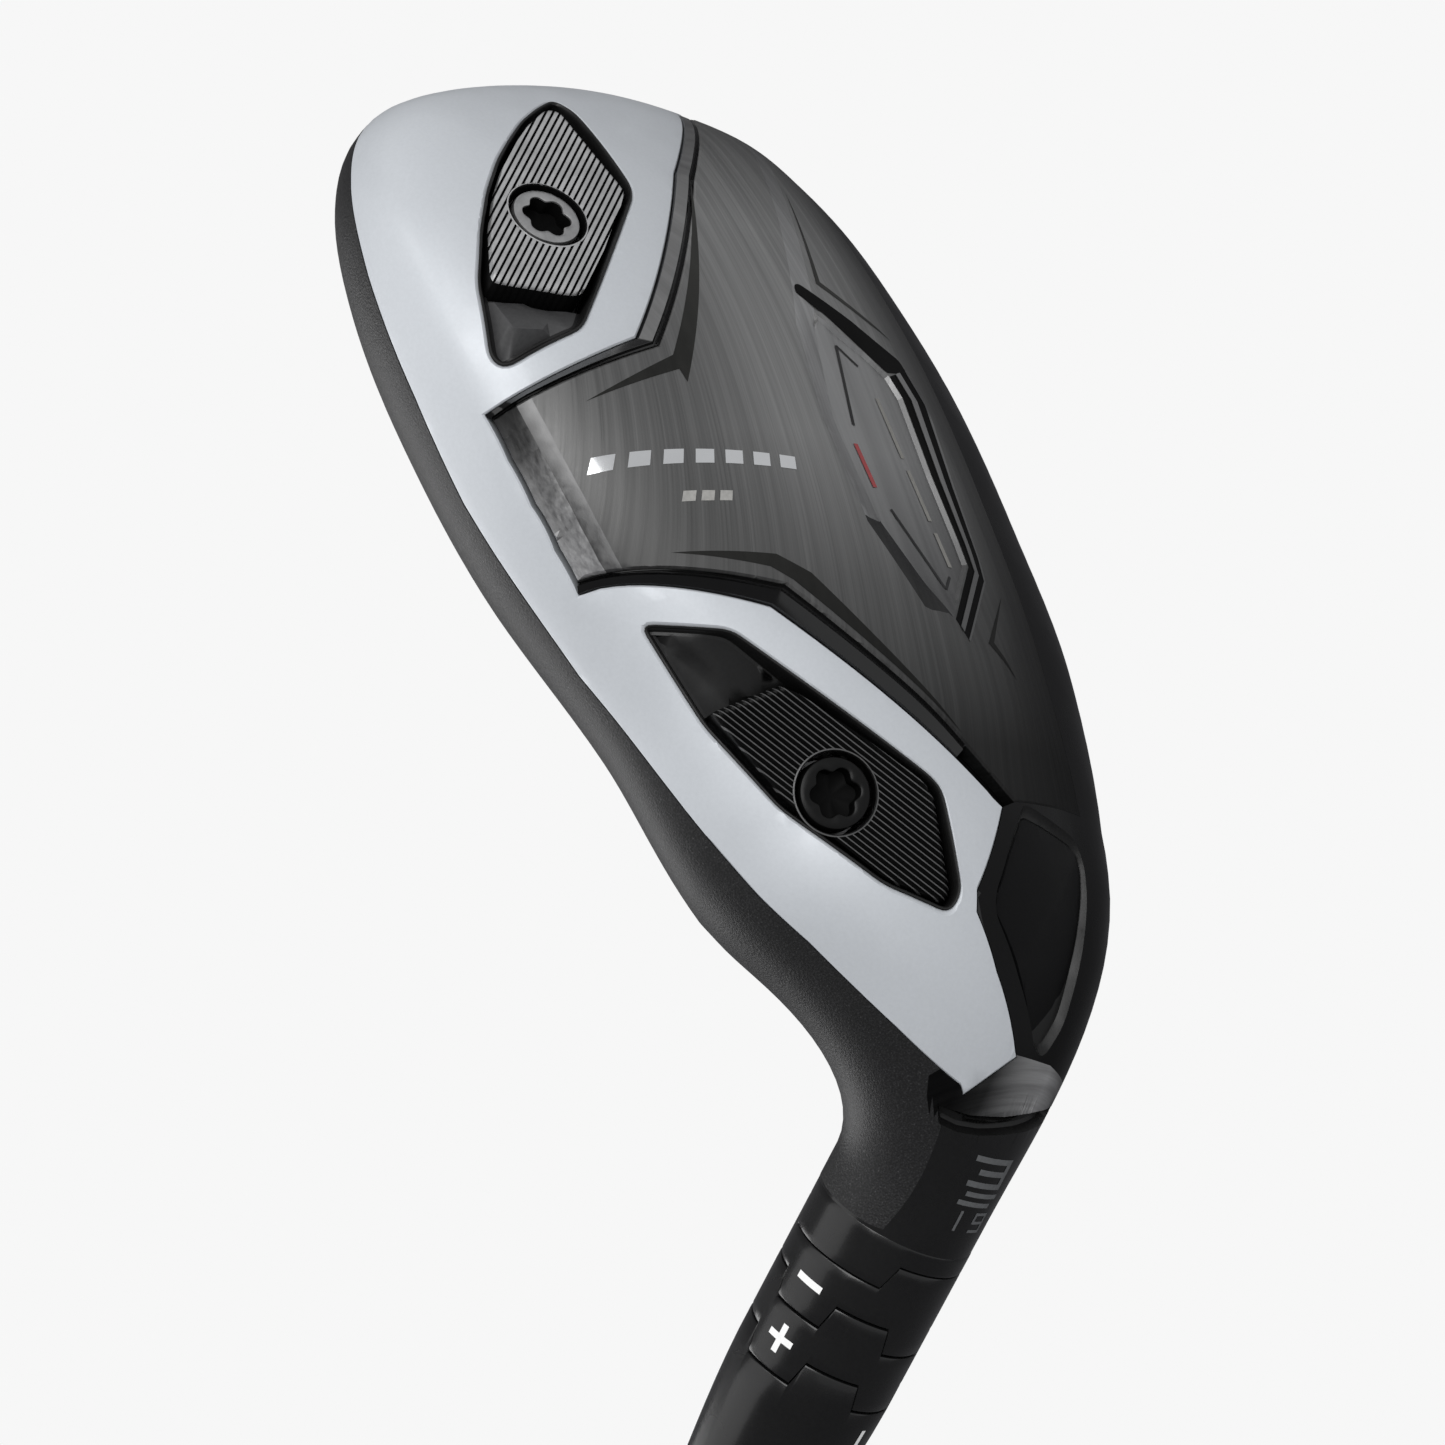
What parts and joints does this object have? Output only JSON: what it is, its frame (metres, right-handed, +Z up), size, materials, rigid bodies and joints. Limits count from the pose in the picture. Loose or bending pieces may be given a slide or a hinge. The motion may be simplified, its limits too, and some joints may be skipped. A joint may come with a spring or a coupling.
{
  "type": "hybrid golf club",
  "caption": "Right-handed adjustable hybrid golf club: hollow rounded head with grooved sole weights, toothed loft cogs at the hosel, tapered shaft and rubber grip.",
  "frame": {"origin": "where the hosel axis meets the ground in the address position", "axes": "+Z up, -X toward the toe, +X toward the heel and shaft, the face looks toward -Y, the rear of the head is +Y; the shaft leans 59 degrees up toward +X"},
  "size_m": [0.6236, 0.0589, 0.8882],
  "materials": {
    "shaft_graphite": "smooth dark graphite composite, clear coated",
    "grip_rubber": "moulded black rubber with a fine raised pattern",
    "tape": "pale double-sided tape, hidden",
    "ferrule_plastic": "gloss black plastic",
    "adapter_black": "satin black anodised aluminium",
    "plug": "plain foam rubber, hidden",
    "cog_black": "satin black anodised, one white position mark",
    "hosel_black": "satin black",
    "body_black": "satin black steel, grainy on the neck",
    "face_steel": "dark brushed steel with score lines",
    "panel_silver": "smooth satin blue-grey metallic paint",
    "plate_dark": "dark brushed steel, brushed heel to toe",
    "trim_black": "gloss black bevel",
    "port_black": "matt black liner",
    "insert_brass": "machined, hidden",
    "cover_black": "satin black moulded plastic",
    "dense_mass": "plain sintered metal, hidden",
    "damper": "cast foam, hidden",
    "screw_dark": "dark steel with a six-lobed drive",
    "washer_steel": "plain steel",
    "clip_steel": "spring steel",
    "weight_silver": "grey steel with fine parallel grooves",
    "screw_grey": "grey steel with a six-lobed drive",
    "weight_black": "gloss black with fine parallel grooves",
    "screw_black": "black steel with a six-lobed drive"
  },
  "bodies": {
    "club": {"shaft": "shaft_graphite", "grip": "grip_rubber", "grip_cap": "grip_rubber", "grip_tape": "tape", "ferrule": "ferrule_plastic", "shaft_sleeve": "adapter_black", "tip_plug": "plug"},
    "upper_cog_body": {"upper_cog": "cog_black"},
    "lower_cog_body": {"lower_cog": "cog_black"},
    "head": {"hosel_tube": "hosel_black", "head_body": "body_black", "face_cup": "face_steel", "sole_panel": "panel_silver", "sole_plate": "plate_dark", "toe_trim": "trim_black", "heel_trim": "trim_black", "toe_port": "port_black", "heel_port": "port_black", "weight_inserts": "insert_brass", "port_cover": "cover_black", "neck_insert": "cover_black", "inner_mass": "dense_mass", "damping_block": "damper"},
    "hosel_screw_body": {"hosel_screw": "screw_dark", "hosel_washer": "washer_steel", "screw_retainer": "clip_steel"},
    "toe_weight_body": {"toe_weight": "weight_silver", "toe_clip": "clip_steel"},
    "toe_screw_body": {"toe_screw": "screw_grey"},
    "heel_weight_body": {"heel_weight": "weight_black", "heel_clip": "clip_steel"},
    "heel_screw_body": {"heel_screw": "screw_black"}
  },
  "joints": [
    {"name": "upper_cog_slide", "type": "slide", "parent": "club", "child": "upper_cog_body", "axis": [-0.515, 0, -0.8572], "range_m": [0, 0.00267]},
    {"name": "lower_cog_slide", "type": "slide", "parent": "upper_cog_body", "child": "lower_cog_body", "axis": [-0.515, 0, -0.8572], "range_m": [0, 0.00268]},
    {"name": "head_slide", "type": "slide", "parent": "lower_cog_body", "child": "head", "axis": [-0.515, 0, -0.8572], "range_m": [0, 0.00268]},
    {"name": "hosel_screw_turn", "type": "hinge", "parent": "head", "child": "hosel_screw_body", "pos_m": [0.0103, 0, 0.01714], "axis": [-0.515, 0, -0.8572], "range_deg": [0, 3601]},
    {"name": "toe_weight_slide", "type": "slide", "parent": "head", "child": "toe_weight_body", "axis": [-0.1107, 0.3408, -0.9336], "range_m": [0, 0.0056]},
    {"name": "toe_screw_turn", "type": "hinge", "parent": "toe_weight_body", "child": "toe_screw_body", "pos_m": [-0.0575, 0.0345, 0.0064], "axis": [-0.1107, 0.3408, -0.9336], "range_deg": [0, 2521]},
    {"name": "heel_weight_slide", "type": "slide", "parent": "head", "child": "heel_weight_body", "axis": [0.3406, 0.5514, -0.7615], "range_m": [0, 0.0056]},
    {"name": "heel_screw_turn", "type": "hinge", "parent": "heel_weight_body", "child": "heel_screw_body", "pos_m": [-0.0062, 0.0202, 0.0086], "axis": [0.3406, 0.5514, -0.7615], "range_deg": [0, 2521]}
  ],
  "couplings": [
    {"joint": "lower_cog_slide", "follows": "upper_cog_slide", "ratio": 1},
    {"joint": "head_slide", "follows": "upper_cog_slide", "ratio": 1},
    {"joint": "hosel_screw_turn", "follows": "upper_cog_slide", "rad_per_m": 23562},
    {"joint": "toe_screw_turn", "follows": "toe_weight_slide", "rad_per_m": 7854},
    {"joint": "heel_screw_turn", "follows": "heel_weight_slide", "rad_per_m": 7854}
  ]
}
